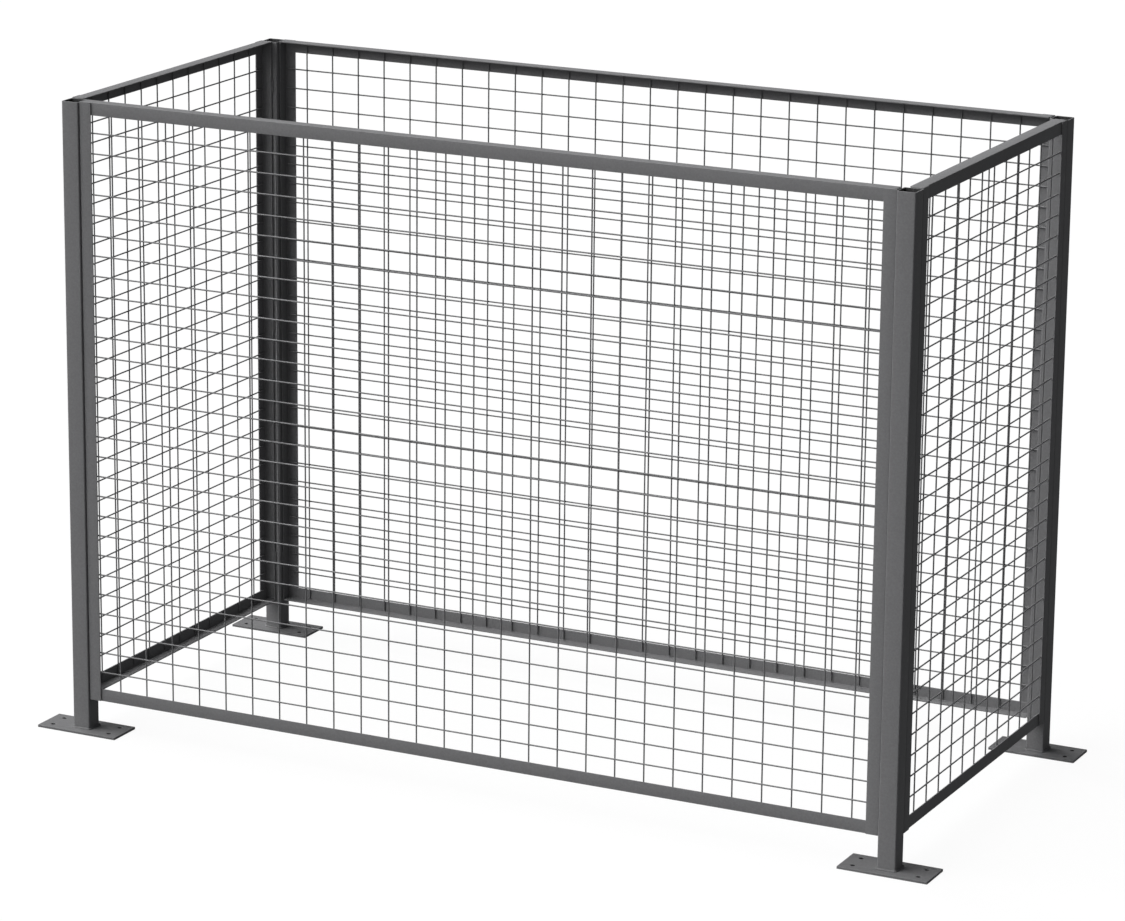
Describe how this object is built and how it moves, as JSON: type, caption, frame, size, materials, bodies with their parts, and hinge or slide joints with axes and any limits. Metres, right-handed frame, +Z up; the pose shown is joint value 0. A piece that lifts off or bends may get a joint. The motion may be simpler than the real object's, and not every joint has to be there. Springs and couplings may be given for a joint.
{
  "type": "mesh guard enclosure",
  "caption": "Free-standing rectangular enclosure: welded-wire panels in angle frames between square tube posts on base plates, open at top and bottom.",
  "frame": {"origin": "on the floor under the middle of the enclosure: the centre of the underside of its bounding box", "axes": "+Z up; +X along the long side, with the front panel at -Y; +Y along the short side, from front to back"},
  "size_m": [2.6204, 1.1566, 1.746],
  "materials": {
    "coated_tube": "matt graphite grey powder coat over square steel tube",
    "coated_plate": "matt graphite grey powder coat over steel plate",
    "coated_angle": "matt graphite grey powder coat over steel angle",
    "coated_wire": "graphite grey powder coat over welded steel wire",
    "coated_weld": "weld bead under the same graphite grey powder coat"
  },
  "bodies": {
    "root": {"post_front_left": "coated_tube", "post_front_right": "coated_tube", "post_back_left": "coated_tube", "post_back_right": "coated_tube", "base_plate_front_left": "coated_plate", "base_plate_front_right": "coated_plate", "base_plate_back_left": "coated_plate", "base_plate_back_right": "coated_plate", "foot_weld_front_left": "coated_weld", "foot_weld_front_right": "coated_weld", "foot_weld_back_left": "coated_weld", "foot_weld_back_right": "coated_weld", "front_top_rail": "coated_angle", "front_bottom_rail": "coated_angle", "front_left_stile": "coated_angle", "front_right_stile": "coated_angle", "front_horizontal_wires": "coated_wire", "front_vertical_wires": "coated_wire", "front_left_stitch_weld_1": "coated_weld", "front_left_stitch_weld_2": "coated_weld", "front_left_stitch_weld_3": "coated_weld", "front_right_stitch_weld_1": "coated_weld", "front_right_stitch_weld_2": "coated_weld", "front_right_stitch_weld_3": "coated_weld", "right_top_rail": "coated_angle", "right_bottom_rail": "coated_angle", "right_front_stile": "coated_angle", "right_back_stile": "coated_angle", "right_horizontal_wires": "coated_wire", "right_vertical_wires": "coated_wire", "right_front_stitch_weld_1": "coated_weld", "right_front_stitch_weld_2": "coated_weld", "right_front_stitch_weld_3": "coated_weld", "right_back_stitch_weld_1": "coated_weld", "right_back_stitch_weld_2": "coated_weld", "right_back_stitch_weld_3": "coated_weld", "back_top_rail": "coated_angle", "back_bottom_rail": "coated_angle", "back_left_stile": "coated_angle", "back_right_stile": "coated_angle", "back_horizontal_wires": "coated_wire", "back_vertical_wires": "coated_wire", "back_left_stitch_weld_1": "coated_weld", "back_left_stitch_weld_2": "coated_weld", "back_left_stitch_weld_3": "coated_weld", "back_right_stitch_weld_1": "coated_weld", "back_right_stitch_weld_2": "coated_weld", "back_right_stitch_weld_3": "coated_weld", "left_top_rail": "coated_angle", "left_bottom_rail": "coated_angle", "left_front_stile": "coated_angle", "left_back_stile": "coated_angle", "left_horizontal_wires": "coated_wire", "left_vertical_wires": "coated_wire", "left_front_stitch_weld_1": "coated_weld", "left_front_stitch_weld_2": "coated_weld", "left_front_stitch_weld_3": "coated_weld", "left_back_stitch_weld_1": "coated_weld", "left_back_stitch_weld_2": "coated_weld", "left_back_stitch_weld_3": "coated_weld"}
  },
  "joints": []
}
